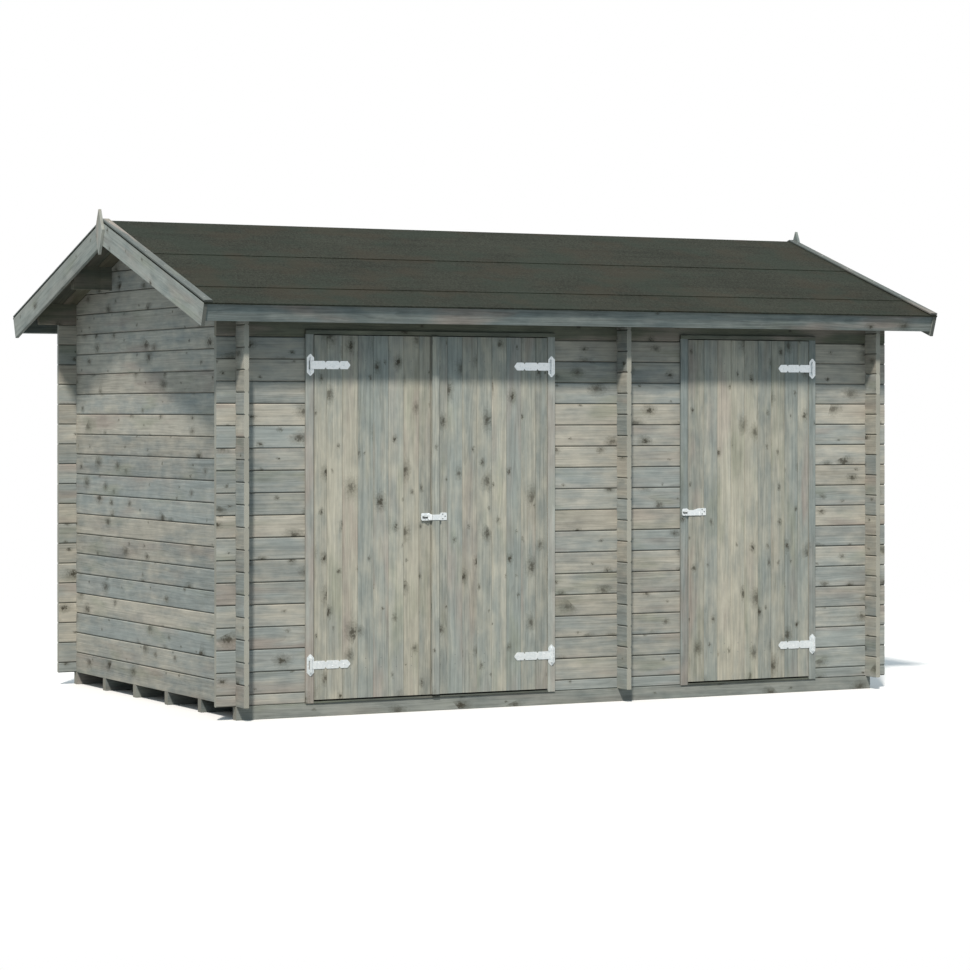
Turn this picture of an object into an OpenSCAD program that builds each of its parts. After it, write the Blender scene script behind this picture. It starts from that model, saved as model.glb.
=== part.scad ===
// Wooden garden shed with cross-notched board walls, a low gable roof under felt,
// one pair of doors, one single door and a partition between the two rooms.
// Frame: X along the ridge, -Y is the door side, Z up, origin on the ground under the middle.

/* [Walls] */
// Height that one wall board covers
board_cover = 114; // [110:1:116]
// Thickness of the wall boards
wall_t = 28; // [26:1:32]
// Length of the shed between the outer faces of the gable walls
shed_len = 3890; // [3880:10:4200]
// Depth of the shed between the outer faces of the front and back walls
shed_dep = 2360; // [2300:10:2400]
// Length of the board ends that stand out past each crossing
cross_end = 106; // [90:1:115]
// Depth of the V groove between two boards
groove = 6; // [3:0.5:7]
// Slack of a notch in plan
notch_slack = 0.5; // [0.3:0.1:1]
// Middle of the partition wall along X
partition_x = 306; // [290:1:320]

/* [Base] */
// Width of a floor bearer
bearer_w = 45; // [40:1:60]
// Height of a floor bearer
bearer_h = 70; // [60:1:80]
// Number of floor bearers
bearer_count = 6; // [5:1:7]
// How far the outer bearers stand out past the wall face
bearer_proud = 8; // [4:1:12]
// Thickness of the floor boards
floor_t = 18; // [16:1:22]

/* [Roof] */
// Height of the roof boards' upper face at the ridge
ridge_h = 2590; // [2590:1:2610]
// Slope of the roof in degrees
pitch = 18.55; // [18:0.05:19]
// Distance from a gable face to the outer face of its barge boards
verge = 281; // [270:1:300]
// Length of a barge board down the slope
slope_len = 1518; // [1500:1:1540]
// Thickness of the roof boards
deck_t = 18; // [16:1:20]
// Thickness of one layer of roofing felt
felt_t = 3; // [2:0.5:4]
// Slope distance from the ridge to the lower edge of the ridge felt
ridge_lap = 637; // [600:1:660]
// Slope distance from the ridge to the lower edge of the middle felt
middle_lap = 1237; // [1200:1:1260]
// Length of roof that two layers of felt share at a lap
felt_lap = 60; // [50:1:80]
// How far the felt reaches past the barge boards at the eaves
felt_overhang = 4; // [4:1:12]
// Width of the barge boards
barge_w = 120; // [110:1:130]
// Thickness of the barge boards
barge_t = 20; // [18:1:24]
// Width of the laths that hold the felt along the verges
lath_w = 46; // [40:1:50]
// Thickness of those laths
lath_t = 10; // [10:1:16]
// Height of the eaves fascia, square to the slope
fascia_h = 95; // [95:1:105]
// Thickness of the eaves fascia
fascia_t = 18; // [16:1:20]
// Distance from the barge boards' tips back to the fascia, down the slope
fascia_set = 8; // [6:1:18]
// Distance from the ridge to a side purlin, on the level
purlin_y = 605; // [580:1:630]
// Width of the purlins
purlin_w = 45; // [40:1:50]
// Height of the purlins
purlin_h = 112; // [100:1:130]
// Length of the purlins and wall plates past the gable face
plate_reach = 225; // [200:1:230]
// Length of the lozenge at each gable top
finial_len = 244; // [220:1:260]
// Width of that lozenge
finial_w = 105; // [95:1:110]
// Thickness of that lozenge
finial_t = 16; // [14:1:20]
// Height of the lozenge's lower point
finial_z = 2412; // [2405:1:2420]

/* [Door frames] */
// Middle of the double doorway along X
double_x = -830; // [-840:1:-820]
// Clear width of the double doorway
double_clear = 1374; // [1360:2:1380]
// Middle of the single doorway along X
single_x = 1130; // [1120:1:1140]
// Clear width of the single doorway
single_clear = 794; // [780:2:800]
// Width of a door post
post_w = 44; // [42:1:48]
// Thickness of a post between its slot and the doorway
post_web = 20; // [18:1:22]
// How far the frame stands out past each wall face
frame_proud = 15; // [12:1:16]
// Thickness of the frame head
head_t = 22; // [20:1:24]
// Thickness of the door sill
sill_t = 10; // [8:1:11]
// Height of the underside of the frame head above the wall foot
head_z = 1896; // [1890:1:1900]

/* [Doors] */
// Thickness of the door boards
leaf_t = 20; // [18:1:22]
// Width that one door board covers
leaf_board = 88; // [85:1:92]
// Depth of the V groove between two door boards
leaf_groove = 3; // [2:0.5:4]
// Gap round a leaf
leaf_gap = 5; // [5:0.5:6]
// Gap between the two leaves where they meet
seam_gap = 6; // [6:0.5:7]
// Middle of that gap along X
seam_x = -843; // [-850:1:-836]
// Height of the leaves' lower edge above the wall foot
leaf_z = 17; // [16:1:18]
// Width of the cover strip at the seam
strip_w = 41; // [38:1:48]
// Thickness of the cover strip
strip_t = 14; // [12:1:16]
// Width of the ledges and the brace behind a leaf
ledge_w = 95; // [85:1:105]
// Thickness of the ledges and the brace
ledge_t = 22; // [20:1:24]
// Distance from a ledge's end to the leaf's edge
ledge_inset = 48; // [45:1:60]

/* [Hinges and hasps] */
// Length of a hinge strap from the pin
strap_len = 225; // [215:1:235]
// Width of a hinge strap
strap_w = 42; // [38:1:44]
// Thickness of the hinge and hasp plates
plate_t = 3; // [2.5:0.1:3]
// Height of the fixed hinge plate
hinge_plate_h = 112; // [104:1:120]
// Width of the fixed hinge plate
hinge_plate_w = 40; // [38:1:42]
// Distance from the doorway's edge to the hinge pin
pin_inset = 20; // [18:1:21]
// Radius of the hinge pins
pin_r = 4; // [3.5:0.1:4]
// Slack between a pin and its knuckle
pin_slack = 0.3; // [0.2:0.05:0.4]
// Radius of the hinge knuckles
knuckle_r = 6.5; // [6.2:0.1:7]
// Height of the lower hinges above the wall foot
low_hinge = 196; // [190:1:200]
// Height of the upper hinges above the wall foot
high_hinge = 1738; // [1730:1:1745]
// Height of the hasps above the wall foot
hasp_z = 948; // [930:1:960]
// Height of a hasp plate
hasp_h = 44; // [40:1:46]
// Width of the hasp's screwed plate
hasp_plate = 45; // [42:1:48]
// Width of the hasp's slotted end
hasp_end = 63; // [58:1:66]
// Height of the hasp's narrow arm, from the plates' lower edge
hasp_arm = 34; // [30:1:38]
// Wire radius of a hasp staple
staple_r = 2.5; // [2:0.1:3]
// Radius of a staple's loop
staple_loop = 9; // [8:0.5:10]

/* [Hidden] */
$fn = 48;

// Wall lines and courses
half_len = shed_len / 2;
half_dep = shed_dep / 2;
foot = bearer_h;
reach_x = half_len + cross_end;
reach_y = half_dep + cross_end;
courses = 19;
header_low = 16.5 * board_cover;
plate_low = 17.5 * board_cover;
partition_face = partition_x - wall_t / 2;
gable_faces = [-half_len, half_len - wall_t];
cross_faces = [gable_faces[0], partition_face, gable_faces[1]];

// Roof lines
slope_run = cos(pitch);
slope_fall = sin(pitch);
// Hairline between faces that bear on each other along the slope
seat = 0.05;
under_ridge = ridge_h - (deck_t + seat) / slope_run;
felt_low = seat;
felt_top = felt_low + felt_t;
ridge_felt_low = felt_top + seat;
ridge_felt_top = ridge_felt_low + felt_t;
lath_low = ridge_felt_top + seat;
barge_x = half_len + verge;
barge_in = barge_x - barge_t;
plate_x = half_len + plate_reach;
fascia_s = slope_len - fascia_set;
deck_s = fascia_s - fascia_t;
felt_s = slope_len + felt_overhang;
// Height of the felt's turned-down edge at the eaves
drip = 5;

// Door lines
face_y = -half_dep - frame_proud - 1;
frame_y = -half_dep - frame_proud;
frame_depth = wall_t + 2 * frame_proud;
double_low = double_x - double_clear / 2;
double_high = double_x + double_clear / 2;
single_low = single_x - single_clear / 2;
single_high = single_x + single_clear / 2;
board_enter = 5;
leaf_low = foot + leaf_z;
leaf_high = foot + head_z - leaf_gap;
left_leaf_x = [double_low + leaf_gap, seam_x - seam_gap / 2];
right_leaf_x = [seam_x + seam_gap / 2, double_high - leaf_gap];
single_leaf_x = [single_low + leaf_gap, single_high - leaf_gap];
left_pin_x = double_low - pin_inset;
right_pin_x = double_high + pin_inset;
single_pin_x = single_high + pin_inset;
pin_y = face_y - knuckle_r - 1;
hinge_heights = [foot + low_hinge, foot + high_hinge];
hasp_level = foot + hasp_z;
tiny = 0.02;

wall_paint = [0.58, 0.57, 0.51];
door_paint = [0.60, 0.58, 0.53];
trim_paint = [0.55, 0.57, 0.56];
base_paint = [0.40, 0.38, 0.33];
felt_paint = [0.27, 0.28, 0.25];
zinc_paint = [0.80, 0.83, 0.84];

// Section and direction helpers

// Extrudes a section drawn as (Y, Z) along X from x0 to x1
module along_x(x0, x1) {
    translate([x0, 0, 0]) rotate([90, 0, 90]) linear_extrude(x1 - x0) children();
}

// Extrudes a section drawn as (X, Z) along Y from y0 to y1
module along_y(y0, y1) {
    translate([0, y1, 0]) rotate([90, 0, 0]) linear_extrude(y1 - y0) children();
}

// Box between two corners
module span(a, b) {
    translate(a) cube(b - a);
}

// Heights of the board joints from z0 to z1, at offset plus whole boards
function joints(z0, z1, offset) =
    [for (k = [0 : courses + 4]) let (z = (k + offset) * board_cover) if (z > z0 + 1 && z < z1 - 1) z];

// Stack of boards in section: a strip with a V cut into both faces at each joint
module board_stack(z0, z1, offset, chamfer_foot = true) {
    inner = joints(z0, z1, offset);
    foot_cut = chamfer_foot ? groove : 0;
    out_side = concat(
        [[wall_t - foot_cut, z0], [wall_t, z0 + foot_cut]],
        [for (z = inner) each [[wall_t, z - groove], [wall_t - groove, z], [wall_t, z + groove]]],
        [[wall_t, z1 - groove], [wall_t - groove, z1]]);
    mirrored = [for (i = [len(out_side) - 1 : -1 : 0]) [wall_t - out_side[i][0], out_side[i][1]]];
    translate([0, foot]) polygon(concat(out_side, mirrored));
}

// Notches through a front or back wall where the cross walls' boards pass
module cross_notches_x(y0) {
    for (x = cross_faces, k = [0 : courses])
        translate([x - notch_slack, y0 - 1, foot + (k + 0.25) * board_cover])
            cube([wall_t + 2 * notch_slack, wall_t + 2, board_cover / 2]);
}

// Notches through a cross wall where the front and back walls' boards pass
module cross_notches_y(x0) {
    for (y = [-half_dep, half_dep - wall_t], k = [0 : courses])
        translate([x0 - 1, y - notch_slack, foot + (k - 0.25) * board_cover])
            cube([wall_t + 2, wall_t + 2 * notch_slack, board_cover / 2]);
}

// Height of the underside of the roof boards at distance y from the ridge
function under(y) = under_ridge - abs(y) * tan(pitch);

// Point on a roof slope: s down the slope, w above the roof boards' upper face, as (Y, Z)
function slope_pt(side, s, w) = [
    side * (s * slope_run + w * slope_fall),
    ridge_h - s * slope_fall + w * slope_run
];

// Point over the ridge line, w square to the slope
function ridge_pt(w) = [0, ridge_h + w / slope_run];

// Section of a sheet on one slope from the ridge to s, between heights w0 and w1
module slope_sheet(side, s, w0, w1) {
    polygon([ridge_pt(w0), slope_pt(side, s, w0), slope_pt(side, s, w1), ridge_pt(w1)]);
}

// Front or back wall boards from x0 to x1, laid with a half board at the foot
module long_wall(x0, x1, y0, z0, z1) {
    difference() {
        along_x(x0, x1) translate([y0, 0]) board_stack(z0, z1, 0.5, z0 > 0);
        cross_notches_x(y0);
    }
}

// Top board of a long wall, planed to the roof slope, out to the verges
module wall_plate(side) {
    y_out = side * half_dep;
    y_in = side * (half_dep - wall_t);
    y_low = min(y_out, y_in);
    low = foot + plate_low;
    difference() {
        along_x(-plate_x, plate_x)
            polygon([
                [y_out - side * groove, low], [y_out, low + groove], [y_out, under(y_out)],
                [y_in, under(y_in)], [y_in, low + groove], [y_in + side * groove, low]
            ]);
        cross_notches_x(y_low);
    }
}

// Section of a purlin at y, its top planed to the slope, grown by slack at its sides and by rise at its top
module purlin_section(y, slack = 0, rise = 0) {
    y0 = y - purlin_w / 2 - slack;
    y1 = y + purlin_w / 2 + slack;
    low = min(under(y - purlin_w / 2), under(y + purlin_w / 2)) - purlin_h - slack;
    peak = y0 < 0 && y1 > 0 ? [[0, under(0) + rise]] : [];
    polygon(concat([[y0, low], [y1, low], [y1, under(y1) + rise]], peak, [[y0, under(y0) + rise]]));
}

// Wall across the shed: full boards up to the roof, let in to the long walls and round the purlins
module cross_wall(x0) {
    through = 20;
    difference() {
        intersection() {
            along_y(-reach_y, reach_y) translate([x0, 0]) board_stack(0, 23 * board_cover, 1, false);
            along_x(x0 - 1, x0 + wall_t + 1)
                polygon([
                    [-reach_y, foot], [reach_y, foot], [reach_y, under(reach_y)],
                    [0, under_ridge], [-reach_y, under(reach_y)]
                ]);
        }
        cross_notches_y(x0);
        along_x(x0 - 1, x0 + wall_t + 1) {
            for (y = [-purlin_y, 0, purlin_y]) purlin_section(y, notch_slack, through);
        }
    }
}

// Base and floor

module floor_bearers() {
    step = (shed_dep + 2 * bearer_proud - bearer_w) / (bearer_count - 1);
    color(base_paint)
        for (i = [0 : bearer_count - 1])
            translate([-half_len, -half_dep - bearer_proud + i * step, 0])
                cube([shed_len, bearer_w, bearer_h]);
}

// Floor of one room, cut out round its door frame
module room_floor(x0, x1, door_low, door_high) {
    edge = half_dep - wall_t - 2;
    difference() {
        span([x0 + 3, -edge, foot], [x1 - 3, edge, foot + floor_t]);
        span([door_low - post_w - 3, -half_dep, foot - 1],
             [door_high + post_w + 3, frame_y + frame_depth + 3, foot + floor_t + 1]);
    }
}

module left_floor() {
    color(base_paint) room_floor(-half_len + wall_t, partition_face, double_low, double_high);
}

module right_floor() {
    color(base_paint) room_floor(partition_face + wall_t, half_len - wall_t, single_low, single_high);
}

// Walls

module front_wall_left() {
    color(wall_paint) long_wall(-reach_x, double_low - post_web - board_enter, -half_dep, 0, header_low);
}

module front_wall_middle() {
    x0 = double_high + post_web + board_enter;
    x1 = single_low - post_web - board_enter;
    color(wall_paint) long_wall(x0, x1, -half_dep, 0, header_low);
}

module front_wall_right() {
    color(wall_paint) long_wall(single_high + post_web + board_enter, reach_x, -half_dep, 0, header_low);
}

// Board over the doors, rebated over each frame head
module front_header() {
    rebate = foot + head_z + head_t;
    color(wall_paint)
        difference() {
            long_wall(-reach_x, reach_x, -half_dep, header_low, plate_low);
            for (door = [[double_low, double_high], [single_low, single_high]])
                span([door[0] - post_w - 1, -half_dep - 1, foot + header_low - 1],
                     [door[1] + post_w + 1, -half_dep + wall_t + 1, rebate]);
        }
}

module front_wall_plate() {
    color(wall_paint) wall_plate(-1);
}

module back_wall() {
    color(wall_paint) long_wall(-reach_x, reach_x, half_dep - wall_t, 0, plate_low);
}

module back_wall_plate() {
    color(wall_paint) wall_plate(1);
}

module left_gable_wall() {
    color(wall_paint) cross_wall(gable_faces[0]);
}

module right_gable_wall() {
    color(wall_paint) cross_wall(gable_faces[1]);
}

module partition_wall() {
    color(wall_paint) cross_wall(partition_face);
}

// Roof

module ridge_purlin() {
    color(wall_paint) along_x(-plate_x, plate_x) purlin_section(0);
}

module front_purlin() {
    color(wall_paint) along_x(-plate_x, plate_x) purlin_section(-purlin_y);
}

module back_purlin() {
    color(wall_paint) along_x(-plate_x, plate_x) purlin_section(purlin_y);
}

module front_roof_boards() {
    color(trim_paint) along_x(-barge_in, barge_in) slope_sheet(-1, deck_s, -deck_t, 0);
}

module back_roof_boards() {
    color(trim_paint) along_x(-barge_in, barge_in) slope_sheet(1, deck_s, -deck_t, 0);
}

// Felt of one slope: a middle sheet lapped over an eaves sheet, which turns down at the eaves
module slope_felt(side) {
    ramp = 8;
    lap_top = middle_lap - felt_lap;
    along_x(-barge_x, barge_x)
        polygon([
            ridge_pt(felt_low), ridge_pt(felt_top),
            slope_pt(side, lap_top - ramp, felt_top), slope_pt(side, lap_top, felt_top + felt_t),
            slope_pt(side, middle_lap, felt_top + felt_t), slope_pt(side, middle_lap, felt_top),
            slope_pt(side, felt_s, felt_top), slope_pt(side, felt_s, -drip),
            slope_pt(side, felt_s - felt_t, -drip), slope_pt(side, felt_s - felt_t, felt_low)
        ]);
}

module front_felt() {
    color(felt_paint) slope_felt(-1);
}

module back_felt() {
    color(felt_paint) slope_felt(1);
}

// One sheet folded over the ridge
module ridge_felt() {
    color(felt_paint)
        along_x(-barge_x, barge_x)
            polygon([
                slope_pt(-1, ridge_lap, ridge_felt_low), ridge_pt(ridge_felt_low),
                slope_pt(1, ridge_lap, ridge_felt_low), slope_pt(1, ridge_lap, ridge_felt_top),
                ridge_pt(ridge_felt_top), slope_pt(-1, ridge_lap, ridge_felt_top)
            ]);
}

// Pair of boards down the two slopes at one gable, mitred with a hairline gap at the ridge
module gable_pair(x0, x1, s, w0, w1) {
    hairline = 1;
    difference() {
        for (side = [-1, 1]) along_x(x0, x1) slope_sheet(side, s, w0, w1);
        span([x0 - 1, -hairline / 2, 0], [x1 + 1, hairline / 2, 2 * ridge_h]);
    }
}

module left_barge_boards() {
    color(trim_paint) gable_pair(-barge_x, -barge_in, slope_len, -barge_w, 0);
}

module right_barge_boards() {
    color(trim_paint) gable_pair(barge_in, barge_x, slope_len, -barge_w, 0);
}

module left_verge_laths() {
    color(trim_paint) gable_pair(-barge_x, -barge_x + lath_w, slope_len, lath_low, lath_low + lath_t);
}

module right_verge_laths() {
    color(trim_paint) gable_pair(barge_x - lath_w, barge_x, slope_len, lath_low, lath_low + lath_t);
}

// Upright lozenge over the meeting of two barge boards
module lozenge(x0) {
    point = 2;
    middle = finial_z + 0.54 * finial_len;
    high = finial_z + finial_len;
    along_x(x0, x0 + finial_t)
        polygon([
            [-point, finial_z], [point, finial_z], [finial_w / 2, middle],
            [point, high], [-point, high], [-finial_w / 2, middle]
        ]);
}

module left_finial() {
    color(trim_paint) lozenge(-barge_x - finial_t);
}

module right_finial() {
    color(trim_paint) lozenge(barge_x);
}

// Board nailed square to the ends of the roof boards
module fascia(side) {
    along_x(-barge_in, barge_in)
        polygon([
            slope_pt(side, deck_s + seat, 0), slope_pt(side, fascia_s, 0),
            slope_pt(side, fascia_s, -fascia_h), slope_pt(side, deck_s + seat, -fascia_h)
        ]);
}

module front_fascia() {
    color(trim_paint) fascia(-1);
}

module back_fascia() {
    color(trim_paint) fascia(1);
}

// Door frames

// Slotted post that takes the board ends; the slot faces away from the doorway, towards dir
module slotted_post(edge_x, dir) {
    slack = 0.5;
    x0 = min(edge_x, edge_x + dir * post_w);
    slot_x = edge_x + dir * post_web;
    slot_end = edge_x + dir * (post_w + 1);
    difference() {
        span([x0, frame_y, foot], [x0 + post_w, frame_y + frame_depth, foot + head_z]);
        span([min(slot_x, slot_end), -half_dep - slack, foot - 1],
             [max(slot_x, slot_end), -half_dep + wall_t + slack, foot + head_z + 1]);
    }
}

module frame_head(low, high) {
    z0 = foot + head_z;
    span([low - post_w, frame_y, z0], [high + post_w, frame_y + frame_depth, z0 + head_t]);
}

// Sill with its upper face falling to the outside
module frame_sill(low, high) {
    fall = 3;
    along_x(low, high)
        polygon([
            [frame_y, foot], [frame_y + frame_depth, foot], [frame_y + frame_depth, foot + sill_t],
            [-half_dep, foot + sill_t], [frame_y, foot + sill_t - fall]
        ]);
}

module double_door_posts() {
    color(trim_paint) {
        slotted_post(double_low, -1);
        slotted_post(double_high, 1);
    }
}

module double_door_head() {
    color(trim_paint) frame_head(double_low, double_high);
}

module double_door_sill() {
    color(trim_paint) frame_sill(double_low, double_high);
}

module single_door_posts() {
    color(trim_paint) {
        slotted_post(single_low, -1);
        slotted_post(single_high, 1);
    }
}

module single_door_head() {
    color(trim_paint) frame_head(single_low, single_high);
}

module single_door_sill() {
    color(trim_paint) frame_sill(single_low, single_high);
}

// Door leaves

// Plan of upright tongued boards from x0 to x1, with a V cut into both faces at each joint.
// The first board, at start_x on the hinge side, is narrower than the others.
module leaf_plan(x0, x1, start_x, dir) {
    first = 70;
    least = 20;
    cut = leaf_groove;
    cuts = [for (k = [0 : 12]) let (x = start_x + dir * (first + k * leaf_board))
            if (x > x0 + least && x < x1 - least) x];
    rising = dir > 0 ? cuts : [for (i = [len(cuts) - 1 : -1 : 0]) cuts[i]];
    front = concat([[x0, 0]], [for (x = rising) each [[x - cut, 0], [x, cut], [x + cut, 0]]], [[x1, 0]]);
    back = [for (i = [len(front) - 1 : -1 : 0]) [front[i][0], leaf_t - front[i][1]]];
    polygon(concat(front, back));
}

module leaf_boards(ends, start_x, dir) {
    translate([0, face_y, leaf_low])
        linear_extrude(leaf_high - leaf_low) leaf_plan(ends[0], ends[1], start_x, dir);
}

// Two ledges and a brace that rises from the lower hinge, joined where they meet
module leaf_ledges(ends, dir) {
    x0 = ends[0] + ledge_inset;
    x1 = ends[1] - ledge_inset;
    low = hinge_heights[0];
    high = hinge_heights[1];
    brace_low = dir > 0 ? x0 : x1 - ledge_w;
    brace_high = dir > 0 ? x1 - ledge_w : x0;
    along_y(face_y + leaf_t, face_y + leaf_t + ledge_t) {
        for (z = [low, high]) translate([x0, z - ledge_w / 2]) square([x1 - x0, ledge_w]);
        polygon([
            [brace_low, low], [brace_low + ledge_w, low],
            [brace_high + ledge_w, high], [brace_high, high]
        ]);
    }
}

module left_leaf_boards() {
    color(door_paint) leaf_boards(left_leaf_x, left_leaf_x[0], 1);
}

module left_leaf_ledges() {
    color(door_paint) leaf_ledges(left_leaf_x, 1);
}

module right_leaf_boards() {
    color(door_paint) leaf_boards(right_leaf_x, right_leaf_x[1], -1);
}

module right_leaf_ledges() {
    color(door_paint) leaf_ledges(right_leaf_x, -1);
}

// Cover strip on the meeting edge of the right leaf
module right_leaf_strip() {
    color(door_paint)
        span([right_leaf_x[0], face_y - strip_t, leaf_low], [right_leaf_x[0] + strip_w, face_y, leaf_high]);
}

module single_door_boards() {
    color(door_paint) leaf_boards(single_leaf_x, single_leaf_x[1], -1);
}

module single_door_ledges() {
    color(door_paint) leaf_ledges(single_leaf_x, -1);
}

// Hinges and hasps

// Outline of a strap from the pin at the origin: two pairs of V nicks and an arrow tip
function strap_edge() =
    let (half = strap_w / 2, nick = 9, wide = 7, root = 0.38 * strap_len, mid = 0.73 * strap_len)
    [
        [0, half], [root - wide, half], [root, half - nick], [root + wide, half],
        [mid - wide, half], [mid, half - nick], [mid + wide, half], [0.93 * strap_len, half],
        [strap_len, 3]
    ];

// Moving strap with its rolled knuckle
module strap(pin_x, z, dir) {
    edge = strap_edge();
    outline = concat(edge, [for (i = [len(edge) - 1 : -1 : 0]) [edge[i][0], -edge[i][1]]]);
    difference() {
        union() {
            translate([pin_x, face_y, z]) rotate([90, 0, 0]) linear_extrude(plate_t)
                polygon([for (p = outline) [dir * p[0], p[1]]]);
            translate([pin_x, pin_y, z - strap_w / 2]) cylinder(h = strap_w, r = knuckle_r);
        }
        translate([pin_x, pin_y, z - strap_w]) cylinder(h = 2 * strap_w, r = pin_r + pin_slack);
        // Room behind the knuckle, so that the strap is clear of the post
        span([pin_x - 2 * knuckle_r, face_y, z - strap_w],
             [pin_x + 2 * knuckle_r, face_y + knuckle_r, z + strap_w]);
    }
}

module straps(pin_x, dir) {
    for (z = hinge_heights) strap(pin_x, z, dir);
}

// Fixed plate with pointed ends, its two knuckles and the pin
module hinge_plate(pin_x, z, dir) {
    half_w = hinge_plate_w / 2;
    half_h = hinge_plate_h / 2;
    shoulder = half_h - 18;
    point = 2.5;
    end_gap = 1;
    knuckle_low = strap_w / 2 + end_gap;
    knuckle_len = shoulder - knuckle_low;
    difference() {
        translate([pin_x, frame_y, z]) rotate([90, 0, 0]) linear_extrude(plate_t)
            polygon([
                [-half_w, -shoulder], [-point, -half_h], [point, -half_h], [half_w, -shoulder],
                [half_w, shoulder], [point, half_h], [-point, half_h], [-half_w, shoulder]
            ]);
        // Window for the strap's root
        span([min(pin_x - dir * 9, pin_x + dir * 2 * half_w), frame_y - 2 * plate_t, z - knuckle_low],
             [max(pin_x - dir * 9, pin_x + dir * 2 * half_w), frame_y + plate_t, z + knuckle_low]);
    }
    for (up = [0, 1]) mirror([0, 0, up]) translate([pin_x, pin_y, (up ? -z : z) + knuckle_low]) {
        cylinder(h = knuckle_len, r = knuckle_r);
        translate([-3, 0, 0]) cube([6, frame_y - pin_y, knuckle_len]);
    }
    translate([pin_x, pin_y, z - shoulder]) cylinder(h = 2 * shoulder, r = pin_r);
}

module hinge_plates() {
    color(zinc_paint)
        for (z = hinge_heights) {
            hinge_plate(left_pin_x, z, 1);
            hinge_plate(right_pin_x, z, -1);
            hinge_plate(single_pin_x, z, -1);
        }
}

module left_leaf_straps() {
    color(zinc_paint) straps(left_pin_x, 1);
}

module right_leaf_straps() {
    color(zinc_paint) straps(right_pin_x, -1);
}

module single_door_straps() {
    color(zinc_paint) straps(single_pin_x, -1);
}

// Half ring of wire that stands out from a plate whose face is at y, its plane level
module staple_wire(x, y, z, out) {
    translate([x, y - out, z]) rotate([0, 0, 180])
        rotate_extrude(angle = 180) translate([staple_loop, 0]) circle(staple_r);
    for (side = [-1, 1])
        translate([x + side * staple_loop, y, z]) rotate([90, 0, 0]) cylinder(h = out, r = staple_r);
}

// Plate in an upright plane between two x values, y_back is its back face
module flat_plate(x0, x1, y_back, height) {
    span([x0, y_back - plate_t, hasp_level - height / 2], [x1, y_back, hasp_level + height / 2]);
}

// Slot along a hasp's end, cut through a plate whose back face is at y_back
module staple_slot(mid, y_back) {
    half_w = staple_loop + staple_r + 2;
    half_h = staple_r + 2;
    span([mid - half_w, y_back - plate_t - 1, hasp_level - half_h],
         [mid + half_w, y_back + 1, hasp_level + half_h]);
}

// Piece of a hasp's narrow arm between two corners in plan, level with the plates at its lower edge
module arm_piece(a, b) {
    low = hasp_level - hasp_h / 2;
    span([a[0], a[1], low], [b[0], b[1], low + hasp_arm]);
}

// Closed hasp end over its staple on the left leaf, cut from the arm at the seam, with a flange to the leaf
module left_leaf_staple() {
    x1 = left_leaf_x[1];
    x0 = x1 - hasp_end;
    mid = x0 + 0.42 * hasp_end;
    arm_y = face_y - strip_t;
    color(zinc_paint) {
        flat_plate(x0 + 5, x1, face_y, hasp_h - 6);
        arm_piece([x1 - plate_t, arm_y - plate_t], [x1, face_y]);
        difference() {
            flat_plate(x0, x1, arm_y, hasp_h);
            staple_slot(mid, arm_y);
        }
        staple_wire(mid, face_y, hasp_level, strip_t + 8);
    }
}

// Screwed plate on the right leaf, its knuckle and the arm over the cover strip
module right_leaf_hasp() {
    x_arm = right_leaf_x[0];
    x_bend = x_arm + strip_w + 2;
    arm_y = face_y - strip_t;
    color(zinc_paint) {
        flat_plate(x_bend, x_bend + hasp_plate, face_y, hasp_h);
        arm_piece([x_arm, arm_y - plate_t], [x_bend, arm_y]);
        arm_piece([x_bend, arm_y - plate_t], [x_bend + plate_t, face_y]);
    }
}

// Screwed plate and arm on the single door, with a slotted end that reaches over the staple
module single_door_hasp() {
    x0 = single_leaf_x[0];
    arm = 48;
    plate = 60;
    lift = 2;
    end_x = single_low - 40;
    color(zinc_paint) {
        flat_plate(x0 + arm, x0 + arm + plate, face_y, hasp_h);
        arm_piece([x0 + arm - plate_t, face_y - lift - plate_t], [x0 + arm + plate_t, face_y - tiny]);
        arm_piece([single_low - 2, face_y - lift - plate_t], [x0 + arm, face_y - lift]);
        difference() {
            flat_plate(end_x, single_low - 2, face_y - lift, hasp_h);
            staple_slot(single_staple_x(), face_y - lift);
        }
    }
}

// Middle of the single door's staple along X
function single_staple_x() = single_low - 21;

module single_door_staple() {
    base = 2;
    mid = single_staple_x();
    color(zinc_paint) {
        span([mid - 16, frame_y - base, hasp_level - 19], [mid + 16, frame_y, hasp_level + 19]);
        staple_wire(mid, frame_y, hasp_level, 14);
    }
}

floor_bearers();
left_floor();
right_floor();
front_wall_left();
front_wall_middle();
front_wall_right();
front_header();
front_wall_plate();
back_wall();
back_wall_plate();
left_gable_wall();
right_gable_wall();
partition_wall();
ridge_purlin();
front_purlin();
back_purlin();
front_roof_boards();
back_roof_boards();
front_felt();
back_felt();
ridge_felt();
left_barge_boards();
right_barge_boards();
left_verge_laths();
right_verge_laths();
left_finial();
right_finial();
front_fascia();
back_fascia();
double_door_posts();
double_door_head();
double_door_sill();
single_door_posts();
single_door_head();
single_door_sill();
left_leaf_boards();
left_leaf_ledges();
left_leaf_straps();
left_leaf_staple();
right_leaf_boards();
right_leaf_ledges();
right_leaf_strip();
right_leaf_straps();
right_leaf_hasp();
single_door_boards();
single_door_ledges();
single_door_straps();
single_door_hasp();
single_door_staple();
hinge_plates();
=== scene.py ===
import math

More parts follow.
